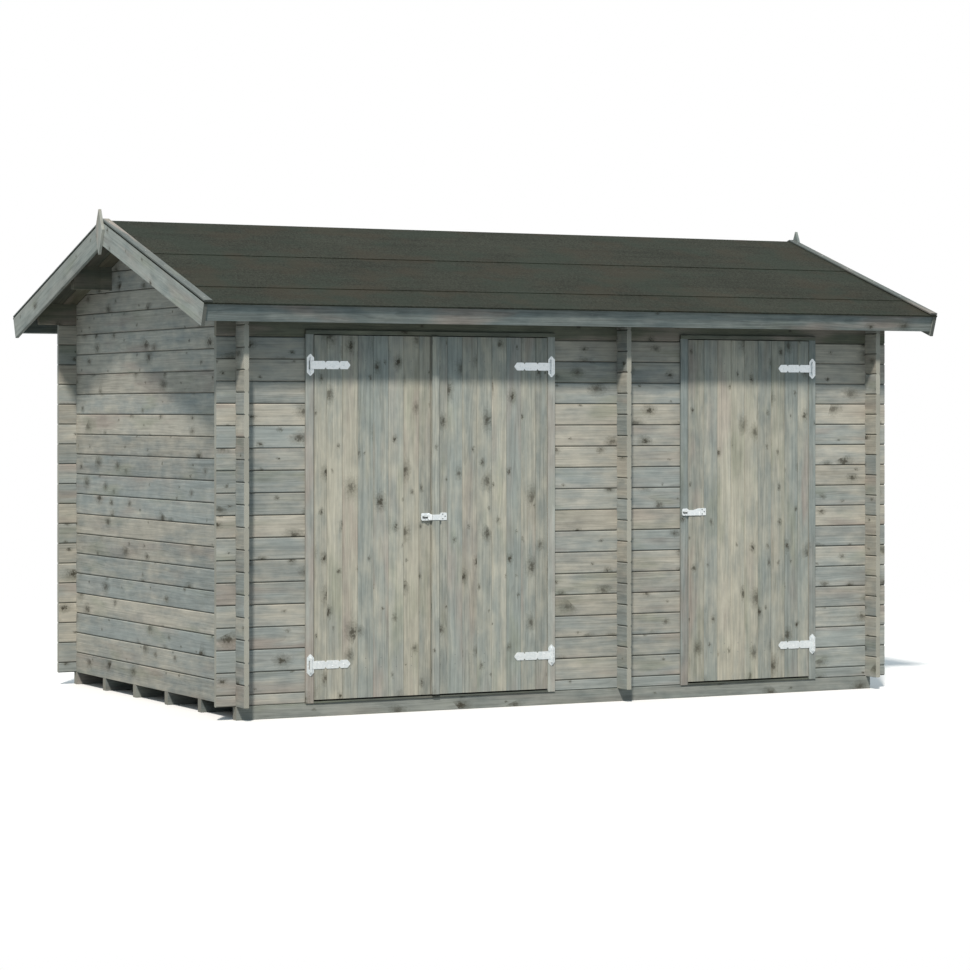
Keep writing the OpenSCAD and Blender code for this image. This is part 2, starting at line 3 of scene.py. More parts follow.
import bpy
import numpy as np
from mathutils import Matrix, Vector


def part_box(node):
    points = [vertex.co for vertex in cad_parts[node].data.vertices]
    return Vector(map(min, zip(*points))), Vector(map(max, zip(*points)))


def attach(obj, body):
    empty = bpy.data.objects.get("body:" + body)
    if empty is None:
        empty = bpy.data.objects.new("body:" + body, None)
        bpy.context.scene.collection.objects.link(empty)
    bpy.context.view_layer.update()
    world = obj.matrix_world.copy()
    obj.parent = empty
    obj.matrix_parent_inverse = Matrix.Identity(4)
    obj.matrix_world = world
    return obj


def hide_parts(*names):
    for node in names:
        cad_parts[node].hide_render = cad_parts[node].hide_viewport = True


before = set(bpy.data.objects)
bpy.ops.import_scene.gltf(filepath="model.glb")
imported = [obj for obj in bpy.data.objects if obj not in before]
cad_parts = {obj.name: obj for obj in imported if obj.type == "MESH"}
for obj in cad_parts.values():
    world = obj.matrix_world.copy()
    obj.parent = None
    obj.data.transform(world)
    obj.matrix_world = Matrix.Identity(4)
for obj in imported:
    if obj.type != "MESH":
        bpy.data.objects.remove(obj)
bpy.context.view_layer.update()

rng = np.random.default_rng(19)
X, Y, Z = 0, 1, 2
EAST, NORTH, UP = np.eye(3)


# Places and sizes in the shed, in metres, mostly read from the frame


def low(node, axis):
    """Lowest value of a node along one axis."""
    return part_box(node)[0][axis]


def high(node, axis):
    """Highest value of a node along one axis."""
    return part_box(node)[1][axis]


FOOT = low("front_wall_left", Z)
HEADER_LOW = low("front_header", Z)
PLATE_LOW = high("front_header", Z)
COURSE = PLATE_LOW - HEADER_LOW
HALF_DEP = high("back_wall", Y)
WALL = high("right_gable_wall", X) - low("right_gable_wall", X)
END_X = high("back_wall", X)
END_Y = high("right_gable_wall", Y)
CROSS_WALLS = {node: low(node, X) for node in ("left_gable_wall", "partition_wall", "right_gable_wall")}
HEADER_COURSE = round((HEADER_LOW - FOOT) / COURSE + 0.5)
RIDGE = high("front_roof_boards", Z)
PITCH = math.radians(18.55)
RUN, FALL, SLOPE = math.cos(PITCH), math.sin(PITCH), math.tan(PITCH)
DECK = 0.018
HAIR = 0.00005
UNDER_RIDGE = RIDGE - (DECK + HAIR) / RUN
FELT = 0.003
MIDDLE_LAP = 1.237
FELT_LAP = 0.060
DRIP = 0.005
DECK_S = -low("front_roof_boards", Y) / RUN
BARGE_S = -low("left_barge_boards", Y) / RUN
FASCIA_S = -low("front_fascia", Y) / RUN
FELT_S = -(low("front_felt", Y) + (FELT + HAIR) * FALL) / RUN
RIDGE_LAP = -(low("ridge_felt", Y) + 2 * (FELT + HAIR) * FALL) / RUN
BARGE_X = high("right_barge_boards", X)
BARGE_IN = low("right_barge_boards", X)
BARGE_W = 0.120
FASCIA_W = 0.095
LATH_LOW = 2 * FELT + 3 * HAIR
LATH_T = 0.010
LATH_W = high("left_verge_laths", X) - low("left_verge_laths", X)
PURLIN_W = high("front_purlin", Y) - low("front_purlin", Y)
PURLIN_Y = {node: low(node, Y) for node in ("front_purlin", "ridge_purlin", "back_purlin")}
PLATE_X = high("front_wall_plate", X)
DOOR_FIRST, DOOR_COVER = 0.070, 0.088
HINGE_SIDES = {"left_leaf": -1, "right_leaf": 1, "single_door": 1}
ROOF_SIDES = {"front": -1, "back": 1}
SEAM_TONGUE = 0.002
LEDGE_W = 0.095
GROOVE, DOOR_GROOVE, ROOF_GROOVE = 0.006, 0.003, 0.003
LEDGE_EASE, EASE, FINE_EASE, SAWN = 0.003, 0.002, 0.0015, 0.001
CUP, DOOR_CUP = 0.0004, 0.0003
SLACK = 0.0005
STEP = 0.0005
PLATE = 0.003
KNUCKLE = 0.0065


# Boards: a profile carried along a straight length


def carry(run, profile, slant=(0, 0)):
    """A profile carried along a board: point k of station n lies at (run n, across k, through k). At the
    first station the slant times across and through is added to the run."""
    run = np.asarray(run, float)
    profile = np.broadcast_to(profile, (len(run), *np.shape(profile)[-2:]))
    along = np.repeat(run[:, None], profile.shape[1], axis=1)
    along[0] += profile[0] @ np.asarray(slant, float)
    return np.dstack([along, profile])


def eased(low_edge, high_edge, thick, ease, rows=3, cup=0.0, low_ease=None):
    """Profile of a board at each station: a face of some points from the low to the high edge, bulged by
    cup as a parabola, a cut corner, the far face back down and the last corner cuts. A cut takes no more
    than a share of the board's height."""
    most = 0.3
    low_edge, high_edge = np.broadcast_arrays(np.atleast_1d(low_edge), np.atleast_1d(high_edge))
    low_edge, high_edge = low_edge[:, None], high_edge[:, None]
    room = most * (high_edge - low_edge)
    top = np.minimum(ease, room)
    base = top if low_ease is None else np.minimum(low_ease, room)
    share = np.linspace(0, 1, rows)
    face = low_edge + base + (high_edge - low_edge - base - top) * share
    near = cup * 4 * share * (1 - share) + 0 * face
    far = thick + near
    across = np.hstack([face, high_edge, high_edge, face[:, ::-1], low_edge, low_edge])
    through = np.hstack([near, top, thick - top, far[:, ::-1], thick - base, base])
    return np.dstack([across, through])


def stations(start, end, marks=(), spacing=0.45):
    """Places along a board: evenly spaced ones, and a pair a hair apart at each mark inside it."""
    margin, nearest = 0.001, 0.004
    count = max(2, int(round((end - start) / spacing)) + 1)
    even = np.linspace(start, end, count)
    inside = [mark for mark in marks if start + margin < mark < end - margin]
    pairs = np.asarray([mark + step for mark in inside for step in (-STEP, STEP)])
    if len(pairs):
        away = np.abs(even[:, None] - pairs[None, :]).min(axis=1) > nearest
        away[[0, -1]] = True
        even = even[away]
    return np.sort(np.concatenate([even, pairs]))


def joined(rings, closed=False):
    """Faces of rings of point numbers: four-sided ones between neighbour rings, and one over each end
    unless the last ring closes on the first."""
    near, far = (rings, np.roll(rings, -1, 0)) if closed else (rings[:-1], rings[1:])
    sides = np.stack([near, np.roll(near, -1, 1), np.roll(far, -1, 1), far], axis=-1).reshape(-1, 4)
    ends = rings[:0] if closed else np.stack([rings[0][::-1], rings[-1]])
    return sides, ends


class Boards:
    """Boards of one piece, gathered as arrays: their points, faces, grain, tone and dark joints."""

    def __init__(self):
        self.points, self.grain, self.tone, self.joint = [], [], [], []
        self.faces, self.cut = [], []
        self.count = 0

    def add(self, local, origin, along, across, through, joint=0.0, grey=0.0):
        """Sets one carried profile in place: origin plus each local value times its axis. Neighbour
        stations are joined by four-sided faces and the two ends closed by one face each. Grain is measured
        from a pith at a chance place. The board's three tones are chances, the first of them moved towards
        grey. The outermost points across each station carry the darkness of a joint."""
        places, side = local.reshape(-1, 3), local[..., 1]
        axes = np.array([along, across, through], float)
        self.points.append(np.asarray(origin, float) + places @ axes)
        start = rng.uniform(0, 60)
        beside = rng.uniform(-0.05, 0.05) - side.mean()
        behind = rng.uniform(0.012, 0.07)
        self.grain.append(places + (start, beside, behind))
        tones = rng.uniform(0, 1, (1, 3)) + (grey, 0, 0)
        self.tone.append(np.repeat(tones, len(places), axis=0))
        hair = 1e-6
        outer = (side < side.min(1, keepdims=True) + hair) | (side > side.max(1, keepdims=True) - hair)
        self.joint.append(np.where(outer.ravel(), joint, 0.0))
        sides, ends = joined(np.arange(len(places)).reshape(side.shape) + self.count)
        c, t = local[0, :, 1], local[0, :, 2]
        area = np.sum(c * np.roll(t, -1) - t * np.roll(c, -1))
        if area * np.linalg.det(axes) < 0:
            sides, ends = sides[:, ::-1], ends[:, ::-1]
        self.faces += sides.tolist() + ends.tolist()
        self.cut += [0.0] * len(sides) + [1.0] * len(ends)
        self.count += len(places)

    def make(self, name, body, slot, finish, *nodes):
        """One mesh of all the boards, on its body, with grain, tone, joints and cut ends as attributes."""
        mesh = bpy.data.meshes.new(name)
        mesh.from_pydata(np.vstack(self.points).tolist(), [], self.faces)
        for label, kind, domain, field, values in (
            ("grain", "FLOAT_VECTOR", "POINT", "vector", np.vstack(self.grain)),
            ("tone", "FLOAT_VECTOR", "POINT", "vector", np.vstack(self.tone)),
            ("joint", "FLOAT", "POINT", "value", np.concatenate(self.joint)),
            ("cut_end", "FLOAT", "FACE", "value", np.array(self.cut)),
        ):
            layer = mesh.attributes.new(label, kind, domain)
            layer.data.foreach_set(field, np.ascontiguousarray(values, np.float32).ravel())
        set_in_shed(mesh, name, body, slot, finish, *nodes)


def one_board(name, body, slot, finish, node, *placed):
    """Piece of a single board, placed as Boards.add says."""
    boards = Boards()
    boards.add(*placed)
    boards.make(name, body, slot, finish, node)


def set_in_shed(mesh, name, body, slot, finish, *nodes):
    """Object of a finished mesh that rides on a body and stands for the named nodes."""
    mesh.materials.append(finish)
    piece = bpy.data.objects.new(name, mesh)
    bpy.context.scene.collection.objects.link(piece)
    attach(piece, body)
    if nodes:
        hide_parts(*nodes)


# Finishes: shader sums written as plain expressions


class Wire:
    """A socket of a finish. Sums on it add Math nodes, and add() puts in any other node."""

    def __init__(self, tree, socket=None):
        self.tree = tree
        self.socket = socket

    def add(self, kind, settings=None, sockets=None, out=0):
        """New node of a kind, its settings first and then the values or wires of its sockets."""
        node = self.tree.nodes.new(kind)
        for name, value in (settings or {}).items():
            setattr(node, name, value)
        for key, value in (sockets or {}).items():
            if isinstance(value, Wire):
                self.tree.links.new(value.socket, node.inputs[key])
            else:
                node.inputs[key].default_value = value
        return Wire(self.tree, node.outputs[out])

    def other(self, out):
        """Another output of the node that this socket belongs to."""
        return Wire(self.tree, self.socket.node.outputs[out])

    def math(self, operation, *values):
        return self.add("ShaderNodeMath", {"operation": operation}, dict(enumerate(values)))

    def __add__(self, value):
        return self.math("ADD", self, value)

    def __sub__(self, value):
        return self.math("SUBTRACT", self, value)

    def __rsub__(self, value):
        return self.math("SUBTRACT", value, self)

    def __mul__(self, value):
        return self.math("MULTIPLY", self, value)

    def __truediv__(self, value):
        return self.math("DIVIDE", self, value)

    def __pow__(self, value):
        return self.math("POWER", self, value)

    __radd__ = __add__
    __rmul__ = __mul__

    def between(self, start, end):
        """Smooth rise from 0 at start to 1 at end, or a fall where end is the smaller."""
        rising = end > start
        sockets = {"Value": self, "From Min": min(start, end), "From Max": max(start, end)}
        sockets.update({"To Min": 0.0 if rising else 1.0, "To Max": 1.0 if rising else 0.0})
        return self.add("ShaderNodeMapRange", {"interpolation_type": "SMOOTHSTEP"}, sockets)

    def split(self):
        """The three parts of a vector or colour."""
        first = self.add("ShaderNodeSeparateXYZ", None, {0: self})
        return first, first.other(1), first.other(2)

    def vector(self, x, y, z=0.0):
        return self.add("ShaderNodeCombineXYZ", None, {0: x, 1: y, 2: z})

    def attribute(self, name, out):
        """What a piece carries under a name."""
        return self.add("ShaderNodeAttribute", {"attribute_name": name}, out=out)

    def bump(self, strength, distance):
        """Tilt of the surface by this height."""
        sockets = {"Strength": strength, "Distance": distance, "Height": self}
        return self.add("ShaderNodeBump", None, sockets)

    def noise(self, place, scale, detail=2.0, rough=0.5):
        sockets = {"Vector": place, "Scale": scale, "Detail": detail, "Roughness": rough}
        return self.add("ShaderNodeTexNoise", None, sockets)

    def mix(self, share, first, second):
        """Colour between two, by a share."""
        sockets = {0: share, 6: first, 7: second}
        return self.add("ShaderNodeMix", {"data_type": "RGBA"}, sockets, out=2)

    def scaled(self, colour, factor):
        """Colour times a value."""
        colour = colour if isinstance(colour, Wire) else colour[:3]
        return self.add("ShaderNodeVectorMath", {"operation": "SCALE"}, {0: colour, "Scale": factor})


def colour(red, green, blue):
    """Linear colour of an sRGB one given in 0 to 255."""
    srgb = np.array([red, green, blue]) / 255
    linear = np.where(srgb <= 0.04045, srgb / 12.92, ((srgb + 0.055) / 1.055) ** 2.4)
    return (*linear.tolist(), 1.0)


def new_finish(name):
    """Empty material with its shader, and a wire to build on."""
    material = bpy.data.materials.new(name)
    material.use_nodes = True
    tree = material.node_tree
    return material, Wire(tree), tree.nodes["Principled BSDF"]


def link(wire, shader, socket):
    wire.tree.links.new(wire.socket, shader.inputs[socket])


def weathered_timber(name, pale, cool, ends, knots=0.55, contrast=1.0, damp=0.0):
    """Weathered softwood. A board leans from a pale to a cool grey by its own chance, by bands along the
    grain, by stains and by damp near the ground; rosy and mossy bands tint it. Rings are the distance from
    the pith, warped by slow noise and pushed aside by knots, which are ragged ellipses of mixed size round
    scattered points. Fine fibres run along the board, joints are dark, and cut ends have a colour of their
    own; where that colour is dark, as on the trims, barges, laths and fascia, it is painted shade."""
    material, wood, shader = new_finish(name)
    pale, cool, ends = colour(*pale), colour(*cool), colour(*ends)
    grain = wood.attribute("grain", "Vector")
    tone, shade, chance = wood.attribute("tone", "Vector").split()
    cut = wood.attribute("cut_end", "Fac")
    joint = wood.attribute("joint", "Fac")
    place = wood.add("ShaderNodeTexCoord", out="Object")
    _, _, height = place.split()
    along, across, through = grain.split()

    def drawn(stretch, fine, detail=2.0, rough=0.5, shift=0.0):
        """Noise drawn out along the board."""
        run = along.math("MULTIPLY_ADD", along, stretch, shift)
        return wood.noise(wood.vector(run, across * fine, through * fine), 1.0, detail, rough)

    cell_u, cell_v = 0.23, 0.088
    cells = wood.add("ShaderNodeTexVoronoi", {"voronoi_dimensions": "2D"}, {
        "Vector": wood.vector(along / cell_u, across / cell_v), "Scale": 1.0}, out="Position")
    knot_u, knot_v, _ = cells.split()
    luck, size, depth = cells.other("Color").split()
    radius = 0.0044 + 0.019 * size ** 2.4
    warp_u, warp_v, ragged = wood.noise(grain, 65.0, 4.0, 0.75).other("Color").split()
    off_u = (along - knot_u * cell_u) * 0.66 + (warp_u - 0.5) * 0.034
    off_v = across - knot_v * cell_v + (warp_v - 0.5) * 0.034
    away = (off_u * off_u + off_v * off_v) ** 0.5 / radius + (ragged - 0.5) * 2.8
    shown = luck.math("LESS_THAN", luck, knots)
    core = away.between(1.1, 0.2) * shown
    halo = away.between(2.6, 0.6) * shown

    slow = drawn(1.1, 9.0)
    pith = (across * across + through * through) ** 0.5
    rings = (pith + (slow - 0.5) * 0.045 + halo * radius * 0.9) / 0.0062
    early = rings.math("FRACT", rings)
    late = early.between(0.35, 0.93) * early.between(1.0, 0.95)
    bands = drawn(2.6, 16.0, 3.0, 0.55)
    rosy = drawn(1.8, 10.0, shift=31.0)
    mossy = drawn(2.2, 9.0, 3.0, shift=67.0)
    streaks = drawn(2.4, 80.0, 3.0, 0.6)
    fibres = drawn(9.0, 420.0)
    mottle = drawn(8.0, 18.0, 3.0, 0.6)
    stain = wood.noise(place, 1.4, 3.0, 0.6)

    lean = 0.5 + (tone - 0.5) * 0.7 + (bands - 0.5) * 1.3 - (stain - 0.5) * 1.0 + (mottle - 0.5) * 0.8
    lean = lean + (1.0 - height) * damp
    base = wood.mix(lean.between(0.0, 1.0), pale, cool)
    base = wood.mix(rosy.between(0.50, 0.72) * (0.15 + chance * 0.55), base, colour(163, 151, 142))
    base = wood.mix(mossy.between(0.54, 0.74) * 0.45, base, colour(140, 145, 127))
    light = 0.97 + (shade - 0.5) * 0.22 + (streaks - 0.5) * (0.70 * contrast) + (fibres - 0.5) * 0.45
    light = light + (stain - 0.5) * 0.10 - (mottle - 0.5) * 0.50 - halo * 0.22
    light = light * (1.0 - late * (0.12 * contrast))
    base = wood.scaled(base, light)
    base = wood.mix(halo * 0.22, base, colour(104, 103, 88))
    base = wood.mix(core * (0.45 + depth * 0.50), base, colour(62, 59, 49))
    sawn = wood.scaled(ends, (0.86 + shade * 0.22) * (1.0 - late * 0.25))
    base = wood.mix(cut * 0.85, base, sawn)
    base = wood.mix(joint.between(0.3, 1.0) * (1.0 - cut) * 0.8, base, colour(58, 56, 48))
    link(base, shader, "Base Color")
    link(0.76 + fibres * 0.16 - core * 0.1, shader, "Roughness")
    relief = late * 0.35 + fibres * 0.5 + streaks * 0.5 - core * 0.5
    link(relief.bump(0.3, 0.0014), shader, "Normal")
    shader.inputs["Specular IOR Level"].default_value = 0.22
    return material


def mineral_felt(name):
    """Roofing felt: dark binder under fine pale grit, in mossy and rusty patches, with long faint streaks
    along the sheet."""
    material, felt, shader = new_finish(name)
    place = felt.add("ShaderNodeTexCoord", out="Object")
    x, y, z = place.split()
    grit = felt.noise(place, 240.0, 3.0, 0.7)
    coarse = felt.noise(place, 85.0, 3.0, 0.65)
    streak = felt.noise(felt.vector(x * 0.9, y * 16.0, z * 16.0), 1.0, 4.0, 0.65)
    cloud = felt.noise(place, 2.1, 3.0)
    moss, rust, _ = felt.noise(place, 2.9, 3.0, 0.6).other("Color").split()
    lift = grit.between(0.38, 0.66) * 0.45 + coarse.between(0.36, 0.66) * 0.50 + (streak - 0.5) * 0.6
    lift = lift + (cloud - 0.5) * 0.6
    base = felt.mix(lift, colour(34, 36, 31), colour(65, 68, 60))
    base = felt.mix(moss.between(0.46, 0.62) * 0.40, base, colour(46, 56, 49))
    base = felt.mix(rust.between(0.48, 0.64) * 0.40, base, colour(60, 54, 45))
    link(base, shader, "Base Color")
    link(0.84 + grit * 0.12, shader, "Roughness")
    relief = grit * 0.7 + coarse * 0.5
    link(relief.bump(0.5, 0.002), shader, "Normal")
    shader.inputs["Specular IOR Level"].default_value = 0.03
    return material


def zinc_plate(name, dull, bright, metal):
    """Hot-dip zinc: pale metal in faint spangles with a soft mottled sheen."""
    material, zinc, shader = new_finish(name)
    place = zinc.add("ShaderNodeTexCoord", out="Object")
    spangle = zinc.add("ShaderNodeTexVoronoi", None, {"Vector": place, "Scale": 130.0}, out="Color")
    flake, _, _ = spangle.split()
    cloud = zinc.noise(place, 45.0, 3.0)
    shine = flake * 0.5 + cloud * 0.5
    link(zinc.mix(shine, colour(*dull), colour(*bright)), shader, "Base Color")
    link(0.38 + shine * 0.2, shader, "Roughness")
    link(shine.bump(0.12, 0.0006), shader, "Normal")
    shader.inputs["Metallic"].default_value = metal
    return material


wall_boards = weathered_timber(
    "grey_wall_boards", (180, 176, 164), (149, 156, 154), (169, 168, 157), knots=0.6, damp=0.2)
door_boards = weathered_timber(
    "grey_door_boards", (178, 175, 161), (148, 155, 151), (176, 170, 156), knots=0.68)
step_boards = weathered_timber(
    "shaded_door_steps", (98, 101, 93), (84, 91, 87), (90, 92, 86), knots=0.3)
# The trims' dark cut-end colour is painted shade on their end faces.
trim_boards = weathered_timber(
    "grey_trim_boards", (164, 167, 161), (143, 152, 150), (104, 106, 100), knots=0.3, contrast=0.8)
# The barge boards' and finials' dark cut-end colour is painted shade on their down-facing end faces.
barge_timber = weathered_timber(
    "grey_barge_boards", (158, 162, 156), (134, 144, 142), (92, 95, 90), knots=0.35, contrast=0.9)
lintel_boards = weathered_timber("shaded_lintels", (122, 123, 108), (108, 114, 104), (100, 98, 86))
# Fascia: darkened all over as painted shade under the felt's edge, and its dark cut ends are painted shade
# too.
fascia_boards = weathered_timber(
    "dark_fascia_boards", (140, 146, 142), (118, 130, 130), (104, 106, 100), knots=0.3, contrast=1.2)
# The laths' dark cut-end colour is painted shade on their end faces.
lath_boards = weathered_timber(
    "dark_verge_laths", (106, 109, 105), (90, 97, 95), (78, 81, 77), knots=0.2, contrast=0.8)
# Header and wall plates: boards darkened as painted shade, standing in for the deep shade under the eaves.
eave_shade_boards = weathered_timber("eave_shade_boards", (112, 114, 99), (98, 106, 96), (150, 145, 130))
# Purlins: darkened as painted shade under the roof.
purlin_wood = weathered_timber("eave_shade_purlins", (116, 114, 99), (98, 104, 95), (128, 125, 112))
# Roof boards: darkened as painted shade on their undersides under the eaves and verges.
roof_boards = weathered_timber("roof_underside_boards", (104, 100, 84), (88, 91, 82), (104, 100, 88))
bearer_wood = weathered_timber(
    "grey_bearers", (145, 149, 144), (117, 128, 128), (150, 148, 138), knots=0.5)
floor_boards = weathered_timber("pale_floor_boards", (184, 167, 138), (160, 150, 130), (180, 166, 140))
roof_grit = mineral_felt("grey_green_grit")
zinc = zinc_plate("bright_zinc", (216, 226, 230), (246, 249, 250), metal=0.6)
nail_steel = zinc_plate("dull_nails", (104, 108, 108), (140, 144, 144), metal=0.5)


# Walls


def under(y):
    """Height of the roof boards' underside at a distance from the ridge."""
    return UNDER_RIDGE - np.abs(y) * SLOPE


def course_edge(k):
    """Height of the lower edge of cross-wall course k; the long walls lie half a board off."""
    return FOOT + k * COURSE


def in_any(places, ranges):
    """True at the stations that lie in one of the ranges."""
    inside = np.zeros(len(places), bool)
    for start, end in ranges:
        inside |= (places > start) & (places < end)
    return inside


CROSSINGS = [(x - SLACK, x + WALL + SLACK) for x in CROSS_WALLS.values()]
SIDE_CROSSINGS = [(y - SLACK, y + WALL + SLACK) for y in (-HALF_DEP, HALF_DEP - WALL)]


def edges_of(ranges):
    """The two ends of every range, in one list."""
    return [edge for pair in ranges for edge in pair]


def long_board(boards, x0, x1, y_face, k, rebates=(), rebate_z=0.0):
    """One board of the front or back wall: full height between the crossings, half of it in the necks, and
    raised over a door frame's head, where it is left nearly square. Course 0 is the half board at the
    foot."""
    run = stations(x0, x1, edges_of(CROSSINGS) + edges_of(rebates))
    neck = in_any(run, CROSSINGS)
    middle = course_edge(k)
    low_edge = np.where(neck, middle - COURSE / 4, middle - COURSE / 2)
    high_edge = np.where(neck, middle + COURSE / 4, middle + COURSE / 2)
    low_edge = np.maximum(low_edge, FOOT)
    raised = in_any(run, rebates)
    low_edge = np.where(raised, rebate_z, low_edge)
    low_ease = np.where(raised, SAWN, GROOVE)[:, None]
    cup = rng.uniform(-CUP, CUP)
    profile = eased(low_edge, high_edge, WALL, GROOVE, cup=cup, low_ease=low_ease)
    boards.add(carry(run, profile), (0, y_face, 0), EAST, UP, NORTH, joint=1.0)


def long_wall(name, node, courses):
    """Stack of boards between the ends of a wall node."""
    boards = Boards()
    x0, x1 = low(node, X), high(node, X)
    for k in courses:
        long_board(boards, x0, x1, low(node, Y), k)
    boards.make(name, "shed", "wall_wood", wall_boards, node)


def cross_board(boards, x_face, k):
    """One board across the shed: its top follows the roof, it is necked in the long walls and cut out
    round the purlins, and a purlin that takes its whole height parts it in two."""
    tip, shortest = 0.003, 0.012
    z0 = course_edge(k)
    z1 = z0 + COURSE
    reach = min(END_Y, (UNDER_RIDGE - z0 - tip) / SLOPE)
    holes = [(y - SLACK, y + PURLIN_W + SLACK, low(node, Z) - SLACK) for node, y in PURLIN_Y.items()]
    spans, start = [], -reach
    for y0, y1, hole_z in sorted(holes):
        if hole_z < z0 + tip and abs(y0 + y1) / 2 < reach:
            spans.append((start, y0))
            start = y1
    spans.append((start, reach))
    shoulder = (UNDER_RIDGE - z1) / SLOPE
    marks = edges_of(SIDE_CROSSINGS) + edges_of([hole[:2] for hole in holes])
    for start, end in spans:
        if end - start < shortest:
            continue
        run = stations(start, end, marks)
        bends = np.array([y for y in (-shoulder, 0, shoulder) if start < y < end])
        run = np.sort(np.concatenate([run, bends]))
        neck = in_any(run, SIDE_CROSSINGS)
        low_edge = np.where(neck, z0 + COURSE / 4, z0)
        high_edge = np.where(neck, z1 - COURSE / 4, z1)
        for y0, y1, hole_z in holes:
            high_edge = np.where((run > y0) & (run < y1), np.minimum(high_edge, hole_z), high_edge)
        high_edge = np.minimum(high_edge, under(run))
        keep = high_edge - low_edge >= tip / 2
        run, low_edge, high_edge = run[keep], low_edge[keep], high_edge[keep]
        cup = rng.uniform(-CUP, CUP)
        profile = eased(low_edge, high_edge, WALL, GROOVE, cup=cup, low_ease=SAWN if k == 0 else GROOVE)
        boards.add(carry(run, profile), (x_face, 0, 0), NORTH, UP, EAST, joint=1.0)


def cross_wall(name, node):
    """Stack of cross boards from the foot to the ridge."""
    boards = Boards()
    for k in range(int((UNDER_RIDGE - FOOT) / COURSE) + 1):
        cross_board(boards, CROSS_WALLS[node], k)
    boards.make(name, "shed", "wall_wood", wall_boards, node)


for part in ("left", "middle", "right"):
    long_wall("front_planks_" + part, "front_wall_" + part, range(HEADER_COURSE))
long_wall("back_planks", "back_wall", range(HEADER_COURSE + 1))
for part in ("left_gable", "right_gable", "partition"):
    cross_wall(part + "_planks", part + "_wall")

header = Boards()
DOOR_HEADS = ("double_door_head", "single_door_head")
HEAD_CLEAR = 0.001
head_spans = [(low(node, X) - HEAD_CLEAR, high(node, X) + HEAD_CLEAR) for node in DOOR_HEADS]
long_board(header, -END_X, END_X, -HALF_DEP, HEADER_COURSE, head_spans, high("double_door_head", Z))
# The header plank takes the boards darkened as painted shade under the eaves.
header.make("header_plank", "shed", "wall_wood", eave_shade_boards, "front_header")


def wall_plate(name, node, side):
    """Top board of a long wall: its profile's upper edge is planed to the roof slope, and it is necked
    where the cross walls pass."""
    run = stations(-PLATE_X, PLATE_X, edges_of(CROSSINGS))
    neck = in_any(run, CROSSINGS)[:, None]
    top = under(HALF_DEP), under(HALF_DEP - WALL)
    across = np.array([PLATE_LOW + GROOVE, top[0], top[1], PLATE_LOW + GROOVE, PLATE_LOW, PLATE_LOW])
    through = np.array([0, 0, WALL, WALL, WALL - GROOVE, GROOVE])
    necked = np.clip(across, course_edge(HEADER_COURSE + 0.75), course_edge(HEADER_COURSE + 1.25))
    across = np.where(neck, necked, across)
    profile = np.dstack([across, np.broadcast_to(through, across.shape)])
    one_board(name, "shed", "wall_wood", eave_shade_boards, node,
              carry(run, profile), (0, side * HALF_DEP, 0), EAST, UP, -side * NORTH)


for label, side in ROOF_SIDES.items():
    wall_plate(label + "_plate_plank", label + "_wall_plate", side)


# Base and floor


def base_bearers():
    """Sawn bearers along the shed, evenly spaced from the front to the back."""
    box_low, box_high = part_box("floor_bearers")
    width, count = 0.045, 6
    boards = Boards()
    for y in np.linspace(box_low[Y], box_high[Y] - width, count):
        profile = eased(box_low[Z], box_high[Z], width, EASE)
        boards.add(carry(stations(box_low[X], box_high[X]), profile), (0, y, 0), EAST, UP, NORTH)
    boards.make("bearer_beams", "shed", "base_wood", bearer_wood, "floor_bearers")


def room_floor(name, node, head):
    """Floor boards along the shed; the first one is cut back round the door frame."""
    box_low, box_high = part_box(node)
    count, gap, clear = 24, 0.0004, 0.003
    lines = np.linspace(box_low[Y], box_high[Y], count + 1)
    notch = [(low(head, X) - clear, high(head, X) + clear)]
    boards = Boards()
    for k in range(count):
        run = stations(box_low[X], box_high[X], edges_of(notch) if k == 0 else ())
        low_edge = np.full(len(run), lines[k] + gap)
        if k == 0:
            low_edge = np.where(in_any(run, notch), high(head, Y) + clear, low_edge)
        profile = eased(low_edge, lines[k + 1] - gap, box_high[Z] - box_low[Z], FINE_EASE)
        boards.add(carry(run, profile), (0, 0, box_high[Z]), EAST, NORTH, -UP, joint=1.0)
    boards.make(name, "shed", "floor_wood", floor_boards, node)


base_bearers()
room_floor("left_floor_planks", "left_floor", "double_door_head")
room_floor("right_floor_planks", "right_floor", "single_door_head")


# Roof


def slope_axes(side):
    """Down the slope and square to it, for the front (-1) or back (1) slope."""
    return np.array([0, side * RUN, -FALL]), np.array([0, side * FALL, RUN])


APEX = np.array([0, 0, RIDGE])


def purlin(name, node, peaked):
    """Beam under the roof boards: its upper edge is planed to the slope, or to both slopes at the
    ridge."""
    y0 = PURLIN_Y[node]
    y1 = y0 + PURLIN_W
    tops = [y1, 0, y0] if peaked else [y1, y0]
    profile = np.array([[y0, low(node, Z)], [y1, low(node, Z)], *[[y, under(y)] for y in tops]])
    one_board(name, "shed", "wall_wood", purlin_wood, node,
              carry(stations(low(node, X), high(node, X)), profile), (0, 0, 0), EAST, NORTH, UP)


def roof_planks(name, node, side):
    """Roof boards from the ridge to the eaves, mitred at the ridge, with a V at each joint below."""
    down, square = slope_axes(side)
    count, gap = 49, 0.0002
    lines = np.linspace(-BARGE_IN, BARGE_IN, count + 1)
    run = stations(0, DECK_S, spacing=0.5)
    boards = Boards()
    for x0, x1 in zip(lines[:-1], lines[1:]):
        profile = eased(x0 + gap, x1 - gap, DECK, ROOF_GROOVE)
        boards.add(carry(run, profile, (0, SLOPE)), APEX, down, EAST, -square, joint=1.0)
    boards.make(name, "shed", "roof_wood", roof_boards, node)


